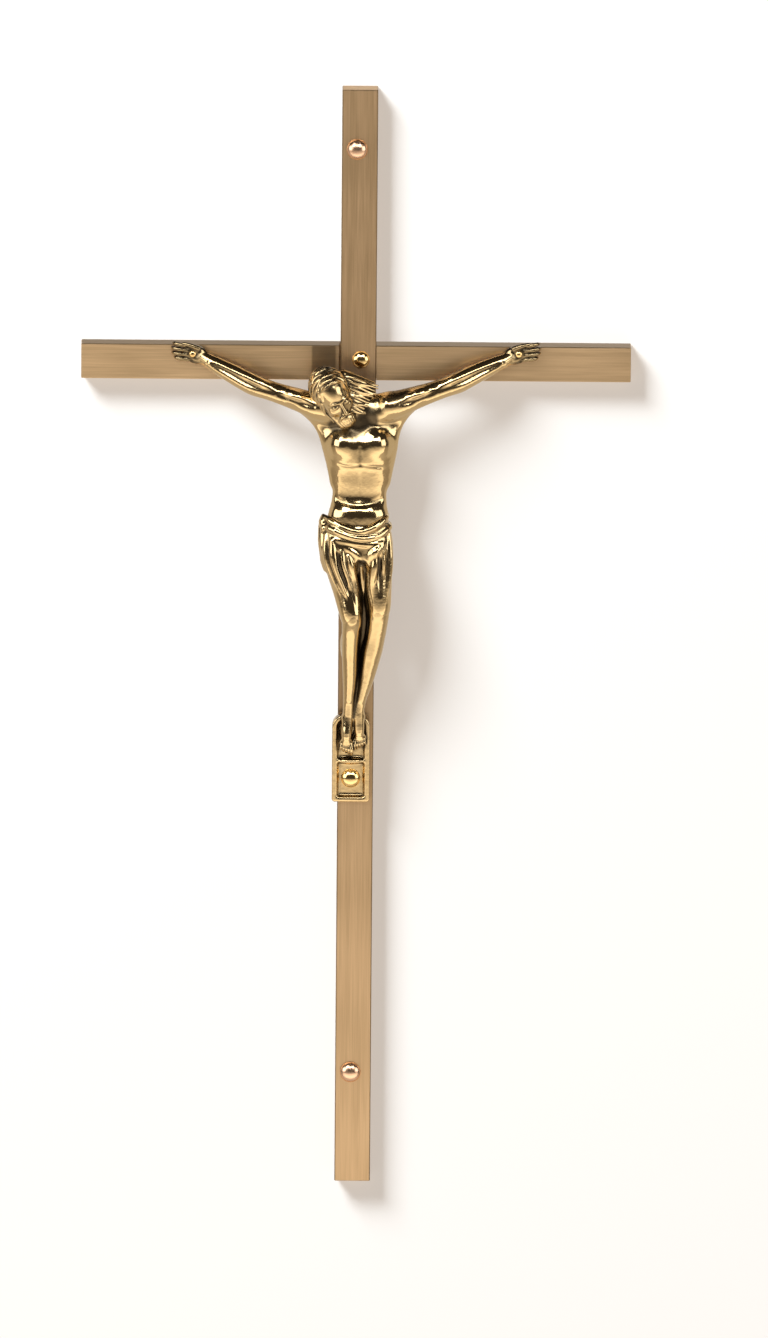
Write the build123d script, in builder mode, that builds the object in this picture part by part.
# Wall crucifix: two flat brass bars half-lapped at the crossing, a one-piece cast figure pinned
# to them at the palms and the foot tab, and two dome-head nails that fix the cross to a wall.
# Millimetres. +Z runs up the upright, +X along the cross bar, and the front faces -Y.
# The origin is where the two bar axes cross, on the back plane.
import os

from build123d import *

# bars
upright_length = 300.0
upright_above_crossing = 74.6
cross_bar_length = 146.0
cross_bar_across = -0.6
bar_width = 9.5
bar_thickness = 5.0
bar_edge_break = 0.2

# half lap at the crossing: the upright keeps its front, the cross bar keeps its back
lap_front_share = 2.5
lap_gap_open = 0.35
lap_gap_tight = 0.05
lap_gap_height = 0.05

# drive pins that hold the lap and the foot tab
pin_shank_radius = 0.9
pin_fit_clearance = 0.03
pin_floor = 0.8
pin_end_gap = 0.2
pin_end_break = 0.2
lap_pin_head_radius = 2.35
lap_pin_head_height = 1.5
lap_pin_across = 0.7
lap_pin_up = 0.9
foot_pin_head_radius = 2.6
foot_pin_head_height = 1.7
foot_pin_below_toes = 7.6

# palm pins
palm_pin_shank_radius = 0.5
palm_pin_head_radius = 0.95
palm_pin_head_height = 0.55
palm_pin_reach = 3.0
palm_seat = 2.0
palm_seat_radius = 1.15
palm_seat_sweep = 3.0

# fixing nails
nail_head_radius = 2.8
nail_head_height = 1.9
nail_neck_radius = 1.3
nail_shank_radius = 0.9
nail_hole_clearance = 0.1
nail_reach = 12.0
nail_point_length = 2.6
nail_point_radius = 0.15
nail_across = -0.7
top_nail_from_end = 16.2
bottom_nail_from_end = 30.2

# foot tab, a shallow tray cast with the figure
tab_width = 10.0
tab_height = 24.2
tab_thickness = 2.4
tab_floor = 1.2
tab_rim = 1.5
tab_top_radius = 3.2
tab_bottom_radius = 0.7
tab_across = -1.2
tab_below_pin = 6.4
toe_rest_height = 2.2
toe_rest_depth = 2.9

# figure: each place is across, forward of the bars' front, and up from the crossing
shoulder_left = (-9.7, 5.6, -10.9)
upper_arm_left = (-16.0, 5.4, -8.7)
elbow_left = (-23.0, 4.6, -6.8)
forearm_left = (-29.5, 3.8, -4.5)
wrist_left = (-39.6, 2.0, 1.0)
palm_left = (-44.0, 1.1, 2.6)
shoulder_right = (9.3, 5.6, -10.2)
upper_arm_right = (15.0, 5.4, -8.0)
elbow_right = (21.5, 4.6, -6.2)
forearm_right = (28.0, 3.8, -3.5)
wrist_right = (38.3, 2.0, 1.7)
palm_right = (42.6, 1.1, 3.2)

shoulder_tall = 7.8
shoulder_deep = 7.2
upper_arm_tall = 6.5
upper_arm_deep = 6.2
elbow_tall = 5.9
elbow_deep = 5.2
forearm_tall = 6.0
forearm_deep = 5.0
wrist_tall = 3.6
wrist_deep = 2.8
palm_tall = 4.8
palm_thick = 2.7
palm_long = 5.6
palm_rise = 0.5
shoulder_root_share = 0.5
arm_end_share = 0.6
finger_length = 3.8
finger_root_radius = 0.72
finger_tip_radius = 0.5
finger_rise = 0.22
finger_spread = 0.1
finger_pitch = 1.15
finger_rows = (-1.5, -0.5, 0.5, 1.5)
finger_root_share = 0.8
finger_lie_back = 0.1
thumb_length = 3.2
thumb_rise = 0.2
thumb_radius = 0.75
thumb_forward = 0.6

neck_base = (-0.4, 6.0, -11.2)
chest = (0.5, 6.6, -19.5)
ribs = (0.7, 6.8, -26.0)
waist = (0.7, 6.4, -33.0)
belly = (0.4, 6.4, -38.5)
hips = (-0.2, 6.6, -46.0)
crotch = (0.9, 6.8, -55.0)
neck_length = 13.0
neck_width = 7.0
neck_depth = 6.4
trapezius_width = 14.0
trapezius_depth = 7.0
chest_width = 18.2
chest_depth = 10.2
ribs_width = 16.6
ribs_depth = 9.8
waist_width = 14.8
waist_depth = 8.0
belly_width = 15.4
belly_depth = 8.8
hips_width = 17.0
hips_depth = 10.0
trapezius_up = 3.4
breast_left = (-3.5, 8.6, -19.6)
breast_right = (4.7, 8.6, -19.4)
breast_width = 8.0
breast_depth = 7.2
breast_rise = 5.6
breast_drop = 4.4
breast_edge_drop = 5.8
breast_edge_depth = 4.4

# loin cloth: a rolled band, a drape to mid thigh, a knot and a hanging end on one hip
cloth_band_up = -42.6
cloth_band_roll = 1.9
cloth_band_drop = 5.2
cloth_width = 18.6
cloth_depth = 11.0
cloth_hem_up = -59.5
cloth_hem_width = 14.8
cloth_hem_depth = 10.6
cloth_hem_across = 2.0
roll_half_width = 9.0
roll_bend_share = 0.6
roll_side_forward = 7.4
roll_bend_forward = 10.2
roll_front_forward = 11.4
roll_side_up = -41.4
roll_bend_sag = 1.4
roll_front_sag = 2.3
roll_pitch = 2.6
roll_thick = 2.5
roll_rows = 2
knot_place = (-9.0, 6.6, -44.2)
knot_length = 2.8
knot_radius = 2.0
tail_end = (-8.0, 6.6, -55.5)
tail_width = 3.2
tail_depth = 4.6

# legs, knees forward, one foot laid beside and partly over the other
thigh_left = (-3.4, 7.4, -52.0)
knee_left = (-1.4, 9.2, -66.6)
calf_left = (-1.2, 7.0, -77.0)
shin_left = (-1.5, 5.9, -85.5)
ankle_left = (-1.9, 4.9, -94.6)
thigh_right = (4.6, 6.6, -52.0)
knee_right = (5.5, 8.0, -67.6)
calf_right = (4.2, 6.0, -76.8)
shin_right = (2.7, 5.2, -85.0)
ankle_right = (0.8, 4.4, -94.4)
thigh_wide = 9.0
thigh_deep = 9.6
thigh_top_share = -0.5
lower_thigh_share = 0.6
knee_wide = 6.3
knee_deep = 6.6
calf_wide = 5.6
calf_deep = 6.2
shin_wide = 4.3
shin_deep = 4.8
ankle_wide = 3.2
ankle_deep = 3.4
instep_left = (-2.1, 4.6, -98.6)
toes_left = (-2.3, 3.4, -103.2)
instep_right = (0.8, 4.1, -98.6)
toes_right = (0.8, 3.1, -103.4)
instep_wide = 3.6
instep_deep = 4.0
toes_wide = 3.9
toes_deep = 3.0
toe_tip_drop = 2.8
toe_tip_deep = 1.8

# head, bowed and leaning towards one shoulder, with long hair over the other
head_place = (-6.5, 9.2, -6.9)
head_lean = 20.0
head_bow = 24.0
beard_tip_down = 7.4
beard_tip_width = 1.8
beard_tip_forward = 2.4
chin_down = 5.2
chin_width = 4.8
chin_depth = 5.4
chin_forward = 1.3
jaw_down = 2.6
jaw_width = 7.2
jaw_depth = 8.8
cheek_up = 0.4
cheek_width = 8.6
cheek_depth = 10.0
brow_up = 2.7
brow_width = 9.6
brow_depth = 10.8
hair_up = 4.7
hair_width = 10.0
hair_depth = 10.8
crown_up = 6.3
crown_width = 8.2
crown_depth = 8.8
crown_top_up = 7.3
crown_top_width = 4.4
crown_top_depth = 4.8
crown_tip_up = 7.6
crown_tip_width = 1.6
hair_back = 0.6
nose_length = 2.4
nose_radius = 0.75
nose_forward = 4.6
lock_root = (-3.4, 7.6, -5.2)
lock_middle = (1.6, 6.8, -8.0)
lock_end = (3.8, 7.6, -14.4)
lock_root_wide = 5.6
lock_middle_wide = 8.6
lock_end_wide = 3.6
lock_root_deep = 5.4
lock_middle_deep = 5.0
lock_end_deep = 2.6

front = -bar_thickness
half_bar = bar_width / 2
upright_foot = upright_above_crossing - upright_length
top_nail_up = upright_above_crossing - top_nail_from_end
bottom_nail_up = upright_foot + bottom_nail_from_end
lap_face = front + lap_front_share
tab_middle = (toes_left[2] + toes_right[2]) / 2
toe_tip_up = tab_middle - toe_tip_drop
toe_rest_up = toe_tip_up - toe_rest_height / 2
foot_pin_up = toe_tip_up - foot_pin_below_toes
tab_bottom = foot_pin_up - tab_below_pin
tab_centre_up = tab_bottom + tab_height / 2
tab_seat = front - tab_floor
pin_reach = bar_thickness - pin_floor - pin_end_gap
nail_bore_radius = nail_neck_radius + nail_hole_clearance
pin_bore_radius = pin_shank_radius + pin_fit_clearance
palm_bore_radius = palm_pin_shank_radius + pin_fit_clearance
palm_pin_end = palm_pin_reach + pin_end_gap
hands = ((palm_left, wrist_left), (palm_right, wrist_right))


def spot(place):
    across, forward, up = place
    return Vector(across, front - forward, up)


def between(first, second, share):
    return spot(first) + (spot(second) - spot(first)) * share


def bore(across, up, start, end, radius):
    # a round hole along Y, cut from the part being built
    with BuildSketch(Plane((across, start, up), x_dir=(1, 0, 0), z_dir=(0, 1, 0))) as hole:
        Circle(radius)
    extrude(hole.sketch, amount=end - start, mode=Mode.SUBTRACT)


def turned_pin(across, face, up, head_radius, head_height, outline):
    # a domed head in front of the face and a shank behind it, turned about Y
    with BuildSketch(Plane((across, face, up))) as half:
        with BuildLine():
            Polyline((0, -head_height), (0, outline[-1][1]), *reversed(outline), (head_radius, 0))
            EllipticalCenterArc((0, 0), head_radius, head_height, start_angle=-90, arc_size=90)
        make_face()
    revolve(half.sketch, axis=Axis((across, face, up), (0, 1, 0)))


def round_loft(stations, across, along):
    # a smooth skin over ellipses: each has a centre, a size across and a size square to it
    rounds = []
    for centre, wide, deep in stations:
        with BuildSketch(Plane(centre, x_dir=across, z_dir=along)) as station:
            Ellipse(wide / 2, deep / 2)
        rounds.append(station.sketch)
    loft(rounds)


def level_loft(stations):
    # stacked up Z: each has a width and a depth
    round_loft(stations, (1, 0, 0), (0, 0, 1))


def reach_loft(stations):
    # strung along X: each has a depth and a height
    round_loft(stations, (0, 1, 0), (1, 0, 0))


def egg(centre, long_way, half_length, radius):
    # a round drawn out along one way
    side = Vector(0, 1, 0) if abs(long_way.Y) < 0.9 else Vector(1, 0, 0)
    with BuildSketch(Plane(centre, x_dir=long_way, z_dir=long_way.cross(side))) as half:
        with BuildLine():
            EllipticalCenterArc((0, 0), half_length, radius, start_angle=0, arc_size=180)
            Line((-half_length, 0), (half_length, 0))
        make_face()
    revolve(half.sketch, axis=Axis(centre, long_way))


def digit(root, way, length, root_radius, tip_radius):
    # a tapered finger with a round tip
    side = Vector(0, 1, 0)
    with BuildSketch(Plane(root, x_dir=way, z_dir=way.cross(side))) as half:
        with BuildLine():
            Polyline((length + tip_radius, 0), (0, 0), (0, root_radius), (length, tip_radius))
            CenterArc((length, 0), tip_radius, 0, 90)
        make_face()
    revolve(half.sketch, axis=Axis(root, way))


# upright bar
with BuildPart() as upright_bar:
    with BuildSketch(Plane((0, front, 0), x_dir=(1, 0, 0), z_dir=(0, -1, 0))):
        with Locations((0, (upright_above_crossing + upright_foot) / 2)):
            Rectangle(bar_width, upright_length)
    extrude(amount=-bar_thickness)
    chamfer(upright_bar.edges(), bar_edge_break)
    lap_height = bar_width + 2 * lap_gap_height
    with BuildSketch(Plane((0, 0, 0), x_dir=(1, 0, 0), z_dir=(0, -1, 0))):
        Rectangle(2 * bar_width, lap_height)
    extrude(amount=-lap_face, mode=Mode.SUBTRACT)
    bore(nail_across, top_nail_up, front, 0, nail_bore_radius)
    bore(nail_across, bottom_nail_up, front, 0, nail_bore_radius)
    bore(lap_pin_across, lap_pin_up, front, lap_face, pin_bore_radius)
    bore(tab_across, foot_pin_up, front, -pin_floor, pin_bore_radius)
upright_bar.part.label = "upright_bar"

# cross bar
with BuildPart() as cross_bar:
    with BuildSketch(Plane((0, front, 0), x_dir=(1, 0, 0), z_dir=(0, -1, 0))):
        with Locations((cross_bar_across, 0)):
            Rectangle(cross_bar_length, bar_width)
    extrude(amount=-bar_thickness)
    chamfer(cross_bar.edges(), bar_edge_break)
    lap_left = -half_bar - lap_gap_open
    lap_right = half_bar + lap_gap_tight
    with BuildSketch(Plane((0, front, 0), x_dir=(1, 0, 0), z_dir=(0, -1, 0))):
        with Locations(((lap_left + lap_right) / 2, 0)):
            Rectangle(lap_right - lap_left, 2 * bar_width)
    extrude(amount=-lap_front_share, mode=Mode.SUBTRACT)
    bore(lap_pin_across, lap_pin_up, lap_face, -pin_floor, pin_bore_radius)
    for palm, wrist in hands:
        bore(palm[0], palm[2], front, front + palm_pin_end, palm_bore_radius)
cross_bar.part.label = "cross_bar"

# cast figure with its foot tab
head_axis = Vector(0, 0, 1).rotate(Axis.X, head_bow).rotate(Axis.Y, -head_lean)
head_forward = Vector(0, -1, 0).rotate(Axis.X, head_bow).rotate(Axis.Y, -head_lean)
head_side = head_forward.cross(head_axis)
head_centre = spot(head_place)
neck_way = (head_centre - spot(neck_base)).normalized()

with BuildPart() as corpus:
    # foot tab: a plate with a sunk tray, and a rest under the toes
    tab_plane = Plane((tab_across, front, tab_centre_up), x_dir=(1, 0, 0), z_dir=(0, -1, 0))
    with BuildSketch(tab_plane) as tab_outline:
        Rectangle(tab_width, tab_height)
        corners = tab_outline.vertices().group_by(Axis.Y)
        fillet(corners[-1], tab_top_radius)
        fillet(tab_outline.vertices().group_by(Axis.Y)[0], tab_bottom_radius)
    extrude(amount=tab_thickness)
    with BuildSketch(tab_plane.offset(tab_floor)):
        RectangleRounded(tab_width - 2 * tab_rim, tab_height - 2 * tab_rim, tab_bottom_radius)
    extrude(amount=tab_thickness - tab_floor, mode=Mode.SUBTRACT)
    with Locations((tab_across, front, toe_rest_up)):
        Box(tab_width - tab_rim, toe_rest_depth, toe_rest_height,
            align=(Align.CENTER, Align.MAX, Align.CENTER))
    # legs and feet
    for thigh, knee, calf, shin, ankle, instep, toes in (
        (thigh_left, knee_left, calf_left, shin_left, ankle_left, instep_left, toes_left),
        (thigh_right, knee_right, calf_right, shin_right, ankle_right, instep_right, toes_right),
    ):
        level_loft([
            (between(thigh, knee, thigh_top_share), thigh_wide, thigh_deep),
            (spot(thigh), thigh_wide, thigh_deep),
            (between(thigh, knee, lower_thigh_share),
             (thigh_wide + knee_wide) / 2, (thigh_deep + knee_deep) / 2),
            (spot(knee), knee_wide, knee_deep),
            (spot(calf), calf_wide, calf_deep),
            (spot(shin), shin_wide, shin_deep),
            (spot(ankle), ankle_wide, ankle_deep),
            (spot(instep), instep_wide, instep_deep),
            (spot(toes), toes_wide, toes_deep),
            (spot(toes) - Vector(0, 0, toe_tip_drop), toes_wide, toe_tip_deep),
        ])
    # trunk from the neck to the hips
    level_loft([
        (spot(neck_base) + Vector(0, 0, trapezius_up), neck_width, neck_depth),
        (spot(neck_base), trapezius_width, trapezius_depth),
        (spot(chest), chest_width, chest_depth),
        (spot(ribs), ribs_width, ribs_depth),
        (spot(waist), waist_width, waist_depth),
        (spot(belly), belly_width, belly_depth),
        (spot(hips), hips_width, hips_depth),
    ])
    for breast in (breast_left, breast_right):
        level_loft([
            (spot(breast) + Vector(0, 0, breast_rise), breast_width / 2, breast_edge_depth),
            (spot(breast), breast_width, breast_depth),
            (spot(breast) - Vector(0, 0, breast_drop), breast_width, breast_depth),
            (spot(breast) - Vector(0, 0, breast_edge_drop), breast_width / 2, breast_edge_depth),
        ])
    # loin cloth: drape, two rolls across the front, knot and hanging end
    band = Vector(belly[0], front - belly[1], cloth_band_up)
    hem = Vector(cloth_hem_across, front - hips[1], cloth_hem_up)
    level_loft([
        (band + Vector(0, 0, cloth_band_roll), belly_width, belly_depth),
        (band, cloth_width, cloth_depth),
        (band - Vector(0, 0, cloth_band_drop), cloth_width, cloth_depth),
        (spot(crotch), (cloth_width + cloth_hem_width) / 2, cloth_depth),
        (hem, cloth_hem_width, cloth_hem_depth),
    ])
    for row in range(roll_rows):
        roll_up = roll_side_up - row * roll_pitch
        bend = roll_half_width * roll_bend_share
        roll_line = (
            (-roll_half_width, roll_side_forward, roll_up),
            (-bend, roll_bend_forward, roll_up - roll_bend_sag),
            (0, roll_front_forward, roll_up - roll_front_sag),
            (bend, roll_bend_forward, roll_up - roll_bend_sag),
            (roll_half_width, roll_side_forward, roll_up),
        )
        reach_loft([(spot(place), roll_thick, roll_thick) for place in roll_line])
    egg(spot(knot_place), Vector(0, 0, 1), knot_length, knot_radius)
    level_loft([
        (spot(knot_place), tail_width, tail_depth),
        (between(knot_place, tail_end, 0.5), tail_width, tail_depth),
        (spot(tail_end), tail_width / 2, tail_depth / 2),
    ])
    # arms
    for shoulder, upper_arm, elbow, forearm, wrist, palm in (
        (shoulder_left, upper_arm_left, elbow_left, forearm_left, wrist_left, palm_left),
        (shoulder_right, upper_arm_right, elbow_right, forearm_right, wrist_right, palm_right),
    ):
        reach_loft([
            (between(shoulder, neck_base, shoulder_root_share), shoulder_deep, shoulder_tall),
            (spot(shoulder), shoulder_deep, shoulder_tall),
            (spot(upper_arm), upper_arm_deep, upper_arm_tall),
            (spot(elbow), elbow_deep, elbow_tall),
            (spot(forearm), forearm_deep, forearm_tall),
            (spot(wrist), wrist_deep, wrist_tall),
            (between(wrist, palm, arm_end_share), wrist_deep, wrist_tall),
        ])
    # hands: a flat palm, four fingers fanned upwards and a thumb along the upper side
    for palm, wrist in hands:
        outward = 1 if palm[0] > wrist[0] else -1
        middle = spot(palm)
        half_palm = Vector(outward * palm_long / 2, 0, palm_rise)
        reach_loft([
            (middle - half_palm, palm_thick, wrist_tall),
            (middle, palm_thick, palm_tall),
            (middle + half_palm, palm_thick, palm_tall),
        ])
        for row in finger_rows:
            root = middle + half_palm * finger_root_share + Vector(0, 0, row * finger_pitch)
            way = Vector(outward, finger_lie_back, finger_rise + finger_spread * row)
            digit(root, way.normalized(), finger_length, finger_root_radius, finger_tip_radius)
        thumb_root = middle + Vector(0, -thumb_forward, palm_tall / 2 - thumb_radius)
        thumb_way = Vector(outward, -finger_lie_back, thumb_rise)
        digit(thumb_root, thumb_way.normalized(), thumb_length, thumb_radius, finger_tip_radius)
    # neck, head, hair, beard and the long locks over one shoulder
    egg((head_centre + spot(neck_base)) / 2, neck_way, neck_length / 2, neck_depth / 2)
    beard_tip = head_centre - head_axis * beard_tip_down + head_forward * beard_tip_forward
    round_loft([
        (beard_tip, beard_tip_width, beard_tip_width),
        (head_centre - head_axis * chin_down + head_forward * chin_forward, chin_width, chin_depth),
        (head_centre - head_axis * jaw_down, jaw_width, jaw_depth),
        (head_centre + head_axis * cheek_up, cheek_width, cheek_depth),
        (head_centre + head_axis * brow_up - head_forward * hair_back, brow_width, brow_depth),
        (head_centre + head_axis * hair_up - head_forward * hair_back, hair_width, hair_depth),
        (head_centre + head_axis * crown_up - head_forward * hair_back, crown_width, crown_depth),
        (head_centre + head_axis * crown_top_up - head_forward * hair_back,
         crown_top_width, crown_top_depth),
        (head_centre + head_axis * crown_tip_up - head_forward * hair_back,
         crown_tip_width, crown_tip_width),
    ], head_side, head_axis)
    nose_root = head_centre + head_forward * nose_forward
    digit(nose_root, -head_axis, nose_length, nose_radius / 2, nose_radius)
    level_loft([
        (spot(lock_root), lock_root_wide, lock_root_deep),
        (spot(lock_middle), lock_middle_wide, lock_middle_deep),
        (spot(lock_end), lock_end_wide, lock_end_deep),
    ])
    # flat back where the palms and the tab lie on the bars, then the pin holes
    split(bisect_by=Plane((0, front, 0), x_dir=(1, 0, 0), z_dir=(0, -1, 0)), keep=Keep.TOP)
    bore(tab_across, foot_pin_up, tab_seat, front, pin_bore_radius)
    for palm, wrist in hands:
        bore(palm[0], palm[2], front - palm_seat, front, palm_bore_radius)
        bore(palm[0], palm[2], front - palm_seat - palm_seat_sweep, front - palm_seat, palm_seat_radius)
corpus.part.label = "corpus"


def drive_pin(across, face, up, head_radius, head_height, shank_radius, reach):
    # a domed pin whose shank end is slightly broken
    outline = [
        (shank_radius, 0),
        (shank_radius, reach - pin_end_break),
        (shank_radius - pin_end_break, reach),
    ]
    turned_pin(across, face, up, head_radius, head_height, outline)


# pins
with BuildPart() as lap_pin:
    drive_pin(lap_pin_across, front, lap_pin_up, lap_pin_head_radius, lap_pin_head_height,
              pin_shank_radius, pin_reach)
lap_pin.part.label = "lap_pin"

with BuildPart() as foot_pin:
    drive_pin(tab_across, tab_seat, foot_pin_up, foot_pin_head_radius, foot_pin_head_height,
              pin_shank_radius, tab_floor + pin_reach)
foot_pin.part.label = "foot_pin"


def palm_pin(palm):
    drive_pin(palm[0], front - palm_seat, palm[2], palm_pin_head_radius, palm_pin_head_height,
              palm_pin_shank_radius, palm_seat + palm_pin_reach)


with BuildPart() as left_hand_pin:
    palm_pin(palm_left)
left_hand_pin.part.label = "left_hand_pin"

with BuildPart() as right_hand_pin:
    palm_pin(palm_right)
right_hand_pin.part.label = "right_hand_pin"


def fixing_nail(up):
    # the neck fills the bar, and the shank behind it goes into the wall
    shank_end = bar_thickness + nail_reach
    outline = [
        (nail_neck_radius, 0),
        (nail_neck_radius, bar_thickness),
        (nail_shank_radius, bar_thickness),
        (nail_shank_radius, shank_end),
        (nail_point_radius, shank_end + nail_point_length),
    ]
    turned_pin(nail_across, front, up, nail_head_radius, nail_head_height, outline)


# fixing nails
with BuildPart() as top_fixing_nail:
    fixing_nail(top_nail_up)
top_fixing_nail.part.label = "top_fixing_nail"

with BuildPart() as bottom_fixing_nail:
    fixing_nail(bottom_nail_up)
bottom_fixing_nail.part.label = "bottom_fixing_nail"

os.makedirs("parts", exist_ok=True)
for piece in (upright_bar, cross_bar, corpus, lap_pin, foot_pin, left_hand_pin, right_hand_pin,
              top_fixing_nail, bottom_fixing_nail):
    export_step(piece.part, f"parts/{piece.part.label}.step")
